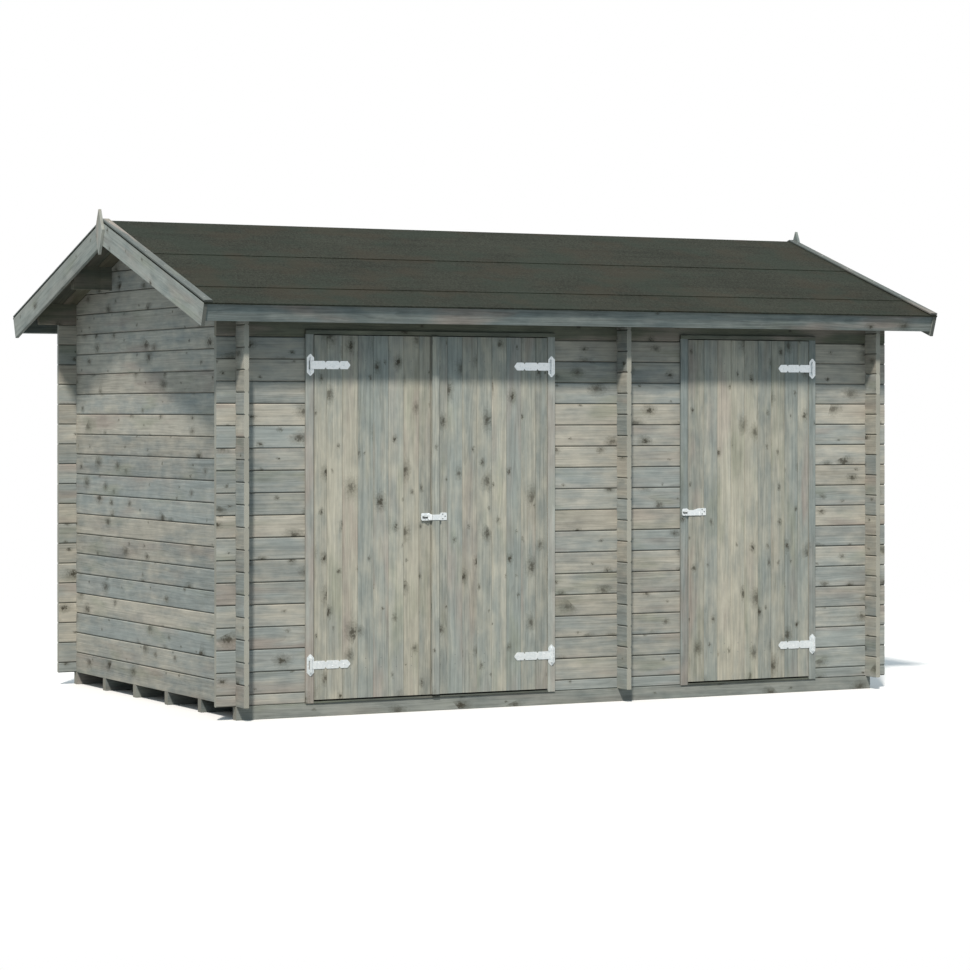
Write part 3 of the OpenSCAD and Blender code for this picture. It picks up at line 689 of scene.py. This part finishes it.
def gable_pair(name, node, finish, w0, w1):
    """Two boards down the slopes of one gable, mitred at the ridge with a hairline between them."""
    x0, x1 = low(node, X), high(node, X)
    hairline = 10 * HAIR
    run = stations(hairline, BARGE_S, spacing=0.3)
    local = carry(run, eased(w0, w1, x1 - x0, EASE), (-SLOPE, 0))
    boards = Boards()
    for side in ROOF_SIDES.values():
        down, square = slope_axes(side)
        boards.add(local, APEX + x0 * EAST, down, square, EAST)
    boards.make(name, "shed", "trim_wood", finish, node)


def eaves_board(name, node, side):
    """Fascia square to the slope across the ends of the roof boards."""
    down, square = slope_axes(side)
    start = DECK_S + HAIR
    local = carry(stations(-BARGE_IN, BARGE_IN), eased(-FASCIA_W, 0, FASCIA_S - start, FINE_EASE))
    one_board(name, "shed", "trim_wood", fascia_boards, node,
              local, APEX + start * down, EAST, square, down)


def lozenge(name, node):
    """Upright lozenge: a board whose edges part from the lower point to the widest place and meet again
    at the top."""
    box_low, box_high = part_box(node)
    half = (box_high[Y] - box_low[Y]) / 2
    point, widest = 0.002, 0.54
    run = box_low[Z] + (box_high[Z] - box_low[Z]) * np.array([0, widest, 1])
    reach = np.array([point, half, point])
    profile = eased(-reach, reach, box_high[X] - box_low[X], FINE_EASE)
    one_board(name, "shed", "trim_wood", barge_timber, node,
              carry(run, profile), (box_low[X], 0, 0), UP, NORTH, EAST)


for label in ("front", "ridge", "back"):
    purlin(label + "_beam", label + "_purlin", label == "ridge")
for label, side in ROOF_SIDES.items():
    roof_planks(label + "_roof_planks", label + "_roof_boards", side)
    eaves_board(label + "_eaves_plank", label + "_fascia", side)
for label in ("left", "right"):
    gable_pair(label + "_barges", label + "_barge_boards", barge_timber, -BARGE_W, 0)
    gable_pair(label + "_laths", label + "_verge_laths", lath_boards, LATH_LOW, LATH_LOW + LATH_T)
    lozenge(label + "_lozenge", label + "_finial")


def felt_sheet(name, node, profile):
    """Felt: a profile of (Y, Z) points carried along the ridge."""
    one_board(name, "shed", "roof_felt", roof_grit, node,
              carry([-BARGE_X, BARGE_X], profile), (0, 0, 0), EAST, NORTH, UP)


def slope_point(side, s, w):
    """Point of a roof slope as (Y, Z): s down the slope and w above the roof boards."""
    return side * (s * RUN + w * FALL), RIDGE - s * FALL + w * RUN


def ridge_point(w):
    """Point over the ridge line, w square to the slope."""
    return 0.0, RIDGE + w / RUN


FELT_TOP = HAIR + FELT
RIDGE_FELT_LOW = FELT_TOP + HAIR
RIDGE_FELT_TOP = RIDGE_FELT_LOW + FELT
LAP_RAMP = 0.008
LAP_TOP = MIDDLE_LAP - FELT_LAP
for label, side in ROOF_SIDES.items():
    felt_sheet(label + "_felt_sheet", label + "_felt", [
        ridge_point(HAIR), ridge_point(FELT_TOP),
        slope_point(side, LAP_TOP - LAP_RAMP, FELT_TOP), slope_point(side, LAP_TOP, FELT_TOP + FELT),
        slope_point(side, MIDDLE_LAP, FELT_TOP + FELT), slope_point(side, MIDDLE_LAP, FELT_TOP),
        slope_point(side, FELT_S, FELT_TOP), slope_point(side, FELT_S, -DRIP),
        slope_point(side, FELT_S - FELT, -DRIP), slope_point(side, FELT_S - FELT, HAIR)])
felt_sheet("ridge_felt_sheet", "ridge_felt", [
    slope_point(-1, RIDGE_LAP, RIDGE_FELT_LOW), ridge_point(RIDGE_FELT_LOW),
    slope_point(1, RIDGE_LAP, RIDGE_FELT_LOW), slope_point(1, RIDGE_LAP, RIDGE_FELT_TOP),
    ridge_point(RIDGE_FELT_TOP), slope_point(-1, RIDGE_LAP, RIDGE_FELT_TOP)])


# Door frames


def door_frame(label):
    """Slotted posts, head and sill of one doorway."""
    posts, head, sill = (label + part for part in ("_door_posts", "_door_head", "_door_sill"))
    width, web, fall = 0.044, 0.020, 0.003
    y0, y1 = low(posts, Y), high(posts, Y)
    slot0, slot1 = SIDE_CROSSINGS[0]
    profile = np.array([
        [0, y0 + EASE], [EASE, y0], [width - EASE, y0], [width, y0 + EASE],
        [width, slot0], [web, slot0], [web, slot1], [width, slot1],
        [width, y1 - EASE], [width - EASE, y1], [EASE, y1], [0, y1 - EASE]])
    local = carry(stations(low(posts, Z), high(posts, Z)), profile)
    boards = Boards()
    for edge, away in ((low(posts, X) + width, -1), (high(posts, X) - width, 1)):
        boards.add(local, (edge, 0, 0), UP, away * EAST, NORTH)
    boards.make(label + "_jambs", "shed", "trim_wood", trim_boards, posts)

    profile = eased(low(head, Z), high(head, Z), y1 - y0, EASE)
    one_board(label + "_lintel", "shed", "trim_wood", lintel_boards, head,
              carry(stations(low(head, X), high(head, X)), profile), (0, y0, 0), EAST, UP, NORTH)

    z0, z1 = low(sill, Z), high(sill, Z)
    profile = np.array([[y0, z0], [y1, z0], [y1, z1], [-HALF_DEP, z1], [y0, z1 - fall]])
    one_board(label + "_step", "shed", "trim_wood", step_boards, sill,
              carry(stations(low(sill, X), high(sill, X)), profile), (0, 0, 0), EAST, NORTH, UP)


door_frame("double")
door_frame("single")


# Door leaves


def leaf(label, grey):
    """Upright boards from a narrower one at the hinge side, all weathered as grey as said, with a low
    tongue along both outer edges, and two ledges with a brace behind them. The brace leans evenly from the
    middle of the lower ledge's hinge end to the upper ledge's other end."""
    least, most = 0.020, 13
    tongue_ease, set_back = 0.0004, 0.0015
    hinge_side = HINGE_SIDES[label]
    node = label + "_boards"
    (x0, y0, z0), (x1, y1, z1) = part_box(node)
    start = x0 if hinge_side < 0 else x1
    lines = [start - hinge_side * (DOOR_FIRST + k * DOOR_COVER) for k in range(most)]
    lines = sorted([x0, x1, *[x for x in lines if x0 + least < x < x1 - least]])
    boards = Boards()
    for a, b in zip(lines[:-1], lines[1:]):
        profile = eased(a, b, y1 - y0, DOOR_GROOVE, cup=rng.uniform(-DOOR_CUP, DOOR_CUP))
        boards.add(carry(stations(z0, z1), profile), (0, y0, 0), UP, EAST, NORTH, joint=0.6, grey=grey)
    for a, b in ((x0 - SEAM_TONGUE, x0), (x1, x1 + SEAM_TONGUE)):
        profile = eased(a, b, y1 - y0 - 2 * set_back, tongue_ease, rows=2)
        boards.add(carry([z0, z1], profile), (0, y0 + set_back, 0), UP, EAST, NORTH)
    boards.make(label + "_planks", label, "door_wood", door_boards, node)

    node = label + "_ledges"
    (x0, y0, z0), (x1, y1, z1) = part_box(node)
    boards = Boards()
    for z in (z0, z1 - LEDGE_W):
        profile = eased(z, z + LEDGE_W, y1 - y0, LEDGE_EASE)
        boards.add(carry(stations(x0, x1), profile), (0, y0, 0), EAST, UP, NORTH)
    foot, crown = (x0, x1 - LEDGE_W) if hinge_side < 0 else (x1 - LEDGE_W, x0)
    lean = (crown - foot) / (z1 - z0 - LEDGE_W)
    start = (foot + lean * LEDGE_W / 2, y0, z0 + LEDGE_W)
    local = carry(stations(0, z1 - z0 - 2 * LEDGE_W), eased(0, LEDGE_W, y1 - y0, LEDGE_EASE))
    boards.add(local, start, UP + lean * EAST, EAST, NORTH)
    boards.make(label + "_braces", label, "door_wood", door_boards, node)


leaf("left_leaf", grey=0.1)
leaf("right_leaf", grey=0.25)
leaf("single_door", grey=0.0)

(x0, y0, z0), (x1, y1, z1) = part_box("right_leaf_strip")
strip = carry(stations(z0, z1), eased(x0, x1, y1 - y0, LEDGE_EASE))
one_board("right_leaf_cover", "right_leaf", "door_wood", door_boards, "right_leaf_strip",
          strip, (0, y0, 0), UP, EAST, NORTH)


# Zinc straps and hinge plates keep their solids

ZINC_PARTS = ("_straps", "hinge_plates")
for name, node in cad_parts.items():
    if name.endswith(ZINC_PARTS):
        node.data.materials.clear()
        node.data.materials.append(zinc)


# Hasps

HASP_HALF = 0.0195
ARM_TOP, ARM_LOW = 0.0105, -0.0178
END_ROUND = 0.007
PLATE_ROUND = 0.004
BARREL = 0.004
LOOP_RISE = 0.003
SLOT_RISE, SLOT_HALF = -0.002, 0.0085


def metal_piece(name, body, finish, shells, *nodes):
    """Metal piece of some shells. A shell is rings of points, and whether they are joined in a closed
    round."""
    points, faces, count = [], [], 0
    for rings, closed in shells:
        places = rings.reshape(-1, 3)
        sides, ends = joined(np.arange(len(places)).reshape(rings.shape[:2]) + count, closed)
        faces += sides.tolist() + ends.tolist()
        points.append(places)
        count += len(places)
    mesh = bpy.data.meshes.new(name)
    mesh.from_pydata(np.vstack(points).tolist(), [], faces)
    set_in_shed(mesh, name, body, "zinc_steel", finish, *nodes)


def bent_bar(x, z_low, z_high, front, back):
    """Flat bar along X, bent where its depth changes: each station is a rectangle between two heights
    and two depths."""
    x, z_low, z_high, front, back = np.broadcast_arrays(x, z_low, z_high, front, back)
    corners = ((z_low, front), (z_low, back), (z_high, back), (z_high, front))
    return np.stack([np.stack([x, y, z], axis=1) for z, y in corners], axis=1), False


def tube(path, heading, across, radius):
    """Round wire or barrel: at each point of a path a ring of even turns in the plane square to its
    heading, which holds the given direction across."""
    sides = 12
    side = np.cross(across, heading)
    turn = np.linspace(0, 2 * math.pi, sides, endpoint=False)[None, :, None]
    return path[:, None] + radius * (np.cos(turn) * side[:, None] + np.sin(turn) * across), False


def barrel(x, y, level):
    """Upright knuckle of a hasp."""
    path = np.array([[x, y, level - HASP_HALF], [x, y, level + HASP_HALF]])
    return tube(path, np.array([UP, UP]), EAST, BARREL)


def staple(name, body, node, x, y, level, out):
    """Staple: a wire straight out from a face, half a circle round and straight back in, on a dull
    base whose dark grey is painted shade seen through the hasp's slot."""
    loop, radius, bends, half = 0.009, 0.0025, 13, 0.016
    angle = np.concatenate([[0], np.linspace(0, math.pi, bends), [math.pi]])
    leg = np.concatenate([[0], np.full(bends, out), [0]])
    rise = level + LOOP_RISE
    path = np.stack([x - loop * np.cos(angle), y - leg - loop * np.sin(angle), 0 * angle + rise], axis=1)
    heading = np.stack([np.sin(angle), -np.cos(angle), 0 * angle], axis=1)
    metal_piece(name, body, zinc, [tube(path, heading, UP, radius)], node)
    base = bent_bar([x - half, x + half], level - half, level + half, y - PLATE / 2, y)
    # The base is dull grey steel rather than zinc: painted shade behind the hasp's slot.
    metal_piece(name + "_base", body, nail_steel, [base])


def slotted_plate(outline, slot, slot_half, front_at):
    """Upright plate with a slot. The outline runs anticlockwise seen from the front and is taken at even
    steps; point k of the slot is where the line from its middle to the outline's point k meets a
    superellipse. front_at gives the depth of the plate's front from the place along X."""
    count = 80
    edge = np.vstack([outline, outline[:1]])
    walked = np.concatenate([[0], np.cumsum(np.hypot(*np.diff(edge, axis=0).T))])
    steps = np.linspace(0, walked[-1], count, endpoint=False)
    outer = np.stack([np.interp(steps, walked, edge[:, k]) for k in (0, 1)], axis=1)
    away = outer - slot
    hole = slot + away * np.sum(np.abs(away / slot_half) ** 4, axis=1, keepdims=True) ** -0.25
    corners = ((outer, 0), (outer, PLATE), (hole, PLATE), (hole, 0))
    return np.stack([np.stack([p[:, 0], front_at(p[:, 0]) + deep, p[:, 1]], axis=1)
                     for p, deep in corners], axis=1), True


def hasp_outline(x0, level, tops, lows):
    """Outline of a hasp's slotted end: back along the top points, round the two corners of the end and
    out along the low points."""
    turn = np.linspace(0, math.pi / 2, 6)
    near = x0 + END_ROUND * (1 - np.sin(turn))
    rise = HASP_HALF - END_ROUND * (1 - np.cos(turn))
    corner = np.stack([near, rise], axis=1)
    outline = np.vstack([tops[::-1], corner, corner[::-1] * (1, -1), lows])
    return outline + (0, level)


def eased_step(share):
    """Smooth rise from 0 to 1 over a share of 0 to 1."""
    share = np.clip(share, 0, 1)
    return share * share * (3 - 2 * share)


def screwed_plate(start, end, level, front):
    """Plate with two rounded corners at its end."""
    turn = np.linspace(0, math.pi / 2, 5)
    x = np.concatenate([[start], end - PLATE_ROUND * (1 - np.sin(turn))])
    half = HASP_HALF - PLATE_ROUND * np.concatenate([[0], 1 - np.cos(turn)])
    return bent_bar(x, level - half, level + half, front, front + PLATE)


def double_door_hasp():
    """The hasp's slotted end over its staple on the left leaf, bent out to the level of the cover strip,
    and on the right leaf its arm over the strip with a knuckle and a screwed plate. The arm is parted at
    the seam between the leaves."""
    end_inset, end_out, bend = 0.003, 0.0105, 0.020
    slot_inset, slot_len, staple_out = 0.0265, 0.0165, 0.022
    strip_clear = 0.002
    (x0, _, z0), (x1, _, z1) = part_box("left_leaf_staple")
    level = (z0 + z1) / 2
    face = low("left_leaf_boards", Y)
    arm_front = low("right_leaf_strip", Y) - PLATE
    end_front = face - end_out
    seam = x1 + SEAM_TONGUE
    x = np.linspace(seam - bend, seam, 7)
    climb = eased_step((x - x[0]) / bend)
    tops = np.stack([x, HASP_HALF + (ARM_TOP - HASP_HALF) * climb], axis=1)
    lows = np.stack([x, -HASP_HALF + (ARM_LOW + HASP_HALF) * climb], axis=1)
    middle = x0 + slot_inset
    end = slotted_plate(
        hasp_outline(x0 + end_inset, level, tops, lows),
        (middle, level + SLOT_RISE), (slot_len, SLOT_HALF),
        lambda place: end_front + (arm_front - end_front) * np.clip((place - seam + bend) / bend, 0, 1))
    metal_piece("left_leaf_hasp_end", "left_leaf", zinc, [end])
    staple("left_leaf_loop", "left_leaf", "left_leaf_staple", middle, face, level, staple_out)

    (x0, _, _), (x1, _, _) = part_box("right_leaf_hasp")
    riser = high("right_leaf_strip", X) + strip_clear
    x = [x0 - SEAM_TONGUE, riser, riser + STEP, riser + PLATE]
    back = [arm_front + PLATE, arm_front + PLATE, face, face]
    arm = bent_bar(x, level + ARM_LOW, level + ARM_TOP, arm_front, back)
    plate = screwed_plate(riser + PLATE, x1, level, face - PLATE)
    knuckle = barrel(riser + PLATE + BARREL, face - BARREL, level)
    metal_piece("right_leaf_hasp_arm", "right_leaf", zinc, [arm, plate, knuckle], "right_leaf_hasp")


def single_door_hasp():
    """The hasp's slotted end over the frame's staple, with its arm dipping along the top, a knuckle and
    a screwed plate."""
    end_len, plate_len, staple_past = 0.031, 0.042, 0.010
    slot_inset, slot_len = 0.019, 0.0145
    dip_fall, dip_rise = 0.16, 0.6
    (x0, y0, z0), (x1, y1, z1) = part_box("single_door_hasp")
    level = (z0 + z1) / 2
    end, joint = x0 + end_len, x1 - plate_len
    x = np.linspace(end, joint, 15)
    share = (x - end) / (joint - end)
    dip = eased_step(share / dip_fall) * eased_step((1 - share) / dip_rise)
    tops = np.stack([x, HASP_HALF + (ARM_TOP - HASP_HALF) * dip], axis=1)
    lows = np.stack([x, 0 * x - HASP_HALF], axis=1)
    middle = x0 + slot_inset
    arm = slotted_plate(
        hasp_outline(x0, level, tops, lows), (middle, level + SLOT_RISE), (slot_len, SLOT_HALF),
        lambda place: y0 + 0 * place)
    plate = screwed_plate(joint + BARREL, x1, level, y1 - PLATE)
    knuckle = barrel(joint + BARREL / 2, y1 - BARREL, level)
    metal_piece("single_door_hasp_arm", "single_door", zinc, [arm, plate, knuckle], "single_door_hasp")
    face = high("single_door_staple", Y)
    staple("single_door_loop", "shed", "single_door_staple", middle, face, level, face - y0 + staple_past)


double_door_hasp()
single_door_hasp()


# Screw and nail heads


def heads(name, body, finish, places, out, radius, rise):
    """Round heads at some places: rings whose radius is the cosine and whose height is the sine of a
    growing angle, above a foot that is let in a little."""
    sides, rings, dome, let_in = 10, 4, 1.25, 0.0005
    turn = np.linspace(0, 2 * math.pi, sides, endpoint=False)
    angle = np.linspace(0, dome, rings)
    ring = np.stack([np.cos(turn), np.sin(turn)], axis=1)
    reach = radius * np.concatenate([[1], np.cos(angle)])
    run = np.concatenate([[-let_in], rise * np.sin(angle)])
    local = carry(run, reach[:, None, None] * ring)
    out = np.asarray(out, float)
    side = np.cross(out, EAST if abs(out[X]) < 0.9 else UP)
    side /= np.linalg.norm(side)
    boards = Boards()
    for place in places:
        boards.add(local, place, out, side, np.cross(out, side))
    boards.make(name, body, "zinc_steel", finish)


STRAP_SCREW, PLATE_SCREW, HASP_SCREW, SCREW_RISE = 0.0042, 0.0036, 0.0040, 0.0016
DOOR_NAIL, TRIM_NAIL, NAIL_RISE = 0.0026, 0.0034, 0.0006
NAIL_INSET = 0.06
STRAP_SCREWS = ((0.045, 0.008), (0.125, -0.008), (0.190, 0.0))
PLATE_SCREWS = ((0, 0.0455), (0, -0.0455), (0.0140, 0.010), (0.0140, -0.010))
HASP_SCREWS = ((0.024, 0.012), (0.024, -0.012), (0.010, 0.001))


def strap_screws(label):
    """Three screws along each strap of a leaf, set a little above and below its middle line in turn.
    Gives the side and the places of its two hinge pins."""
    (x0, _, z0), (x1, y1, z1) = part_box(label + "_straps")
    half_strap = 0.021
    hinge_side = HINGE_SIDES[label]
    pin = x0 + KNUCKLE if hinge_side < 0 else x1 - KNUCKLE
    levels = (z0 + half_strap, z1 - half_strap)
    places = [(pin - hinge_side * dx, y1 - PLATE, z + dz) for z in levels for dx, dz in STRAP_SCREWS]
    heads(label + "_strap_screws", label, zinc, places, -NORTH, STRAP_SCREW, SCREW_RISE)
    return [(pin, hinge_side, z) for z in levels]


pins = [pin for label in HINGE_SIDES for pin in strap_screws(label)]
plate_face = high("hinge_plates", Y) - PLATE
plate_places = [(x + dx * side, plate_face, z + dz) for x, side, z in pins for dx, dz in PLATE_SCREWS]
heads("hinge_plate_screws", "shed", zinc, plate_places, -NORTH, PLATE_SCREW, SCREW_RISE)

for label in ("right_leaf", "single_door"):
    (_, _, z0), (x1, y1, z1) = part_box(label + "_hasp")
    places = [(x1 - dx, y1 - PLATE, (z0 + z1) / 2 + dz) for dx, dz in HASP_SCREWS]
    heads(label + "_hasp_screws", label, nail_steel, places, -NORTH, HASP_SCREW, SCREW_RISE)


def leaf_nails(label):
    """Two nails through each upright board into each ledge."""
    inset, last, most = 0.024, 0.048, 7
    hinge_side = HINGE_SIDES[label]
    (x0, y0, _), (x1, _, _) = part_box(label + "_boards")
    ledges = label + "_ledges"
    levels = (low(ledges, Z) + LEDGE_W / 2, high(ledges, Z) - LEDGE_W / 2)
    start = x0 if hinge_side < 0 else x1
    reach = np.concatenate([[DOOR_FIRST / 2], DOOR_FIRST + DOOR_COVER * (np.arange(most) + 0.5)])
    reach = reach[reach < x1 - x0 - last]
    rows = [z + dz for z in levels for dz in (-inset, inset)]
    places = [(start - hinge_side * r, y0, z) for r in reach for z in rows]
    heads(label + "_nails", label, nail_steel, places, -NORTH, DOOR_NAIL, NAIL_RISE)


for label in HINGE_SIDES:
    leaf_nails(label)

BARGE_NAILS = [(s, w) for s in (0.10, 0.50, 0.95, 1.42) for w in (-0.032, -0.088)]
FASCIA_ROWS = (-0.030, -0.070)
for label, sign in (("left", -1), ("right", 1)):
    places = []
    for side in ROOF_SIDES.values():
        down, square = slope_axes(side)
        places += [APEX + sign * BARGE_X * EAST + s * down + w * square for s, w in BARGE_NAILS]
    heads(label + "_barge_nails", "shed", nail_steel, places, sign * EAST, TRIM_NAIL, NAIL_RISE)

for label, side in ROOF_SIDES.items():
    down, square = slope_axes(side)
    spread = np.linspace(-BARGE_IN + NAIL_INSET, BARGE_IN - NAIL_INSET, 9)
    places = [APEX + x * EAST + FASCIA_S * down + w * square for x in spread for w in FASCIA_ROWS]
    heads(label + "_fascia_nails", "shed", nail_steel, places, down, TRIM_NAIL, NAIL_RISE)
    places = [APEX + sign * (BARGE_X - LATH_W / 2) * EAST + s * down + (LATH_LOW + LATH_T) * square
              for sign in (-1, 1) for s in np.linspace(NAIL_INSET, BARGE_S - NAIL_INSET, 6)]
    heads(label + "_lath_nails", "shed", nail_steel, places, square, TRIM_NAIL, NAIL_RISE)


# Stage, light and camera


def stage():
    """Pale floor that fades into the white background, a low warm sun, a weak light from behind and a cool
    sky."""
    mesh = bpy.data.meshes.new("floor")
    half = 40.0
    corners = [(-half, -half, 0), (half, -half, 0), (half, half, 0), (-half, half, 0)]
    mesh.from_pydata(corners, [], [(0, 1, 2, 3)])
    floor = bpy.data.objects.new("floor", mesh)
    bpy.context.scene.collection.objects.link(floor)
    material, pale, shader = new_finish("pale_floor")
    mesh.materials.append(material)
    place = pale.add("ShaderNodeTexCoord", out="Object")
    away = pale.add("ShaderNodeVectorMath", {"operation": "LENGTH"}, {0: place}, out="Value")
    seen = pale.add("ShaderNodeLightPath", out="Is Camera Ray")
    link(pale.mix(seen, (0.35, 0.35, 0.34, 1), (0.92, 0.92, 0.92, 1)), shader, "Base Color")
    shader.inputs["Roughness"].default_value = 0.9
    shader.inputs["Specular IOR Level"].default_value = 0.0
    clear = pale.add("ShaderNodeBsdfTransparent")
    faded = pale.add("ShaderNodeMixShader", None, {
        0: away.between(3.5, 9.0), 1: Wire(pale.tree, shader.outputs[0]), 2: clear})
    pale.tree.links.new(faded.socket, pale.tree.nodes["Material Output"].inputs["Surface"])

    for name, energy, spread, tint, aim in (
        ("sun", 3.5, 5.0, (1.0, 0.93, 0.85), (0.358, 0.526, -0.772)),
        ("back_light", 0.9, 25.0, (0.93, 0.97, 1.0), (-0.40, -0.72, -0.57)),
    ):
        light = bpy.data.lights.new(name, "SUN")
        light.energy = energy
        light.angle = math.radians(spread)
        light.color = tint
        lamp = bpy.data.objects.new(name, light)
        lamp.rotation_euler = Vector(aim).to_track_quat("-Z", "Y").to_euler()
        bpy.context.scene.collection.objects.link(lamp)

    world = bpy.data.worlds.new("sky")
    bpy.context.scene.world = world
    world.use_nodes = True
    sky = Wire(world.node_tree)
    ray = sky.add("ShaderNodeLightPath", out="Is Camera Ray")
    white = ray.math("MAXIMUM", ray, ray.other("Is Glossy Ray"))
    white = white.math("MAXIMUM", white, ray.other("Is Transmission Ray"))
    shade = sky.mix(white, (0.37, 0.45, 0.50, 1), (1, 1, 1, 1))
    world.node_tree.links.new(shade.socket, world.node_tree.nodes["Background"].inputs["Color"])


def camera():
    """Level camera at the viewing angle; the frame is shifted down so that the uprights stay upright."""
    lens = bpy.data.cameras.new("camera")
    lens.lens = 113.13
    lens.sensor_width = 36.0
    lens.shift_y = -0.0758
    lens.clip_end = 200.0
    eye = bpy.data.objects.new("camera", lens)
    eye.location = (-8.02286, -15.46348, 1.568758)
    eye.rotation_euler = (math.radians(90), 0, math.radians(-27.726))
    bpy.context.scene.collection.objects.link(eye)
    bpy.context.scene.camera = eye


stage()
camera()
bpy.context.scene.view_settings.view_transform = "Standard"
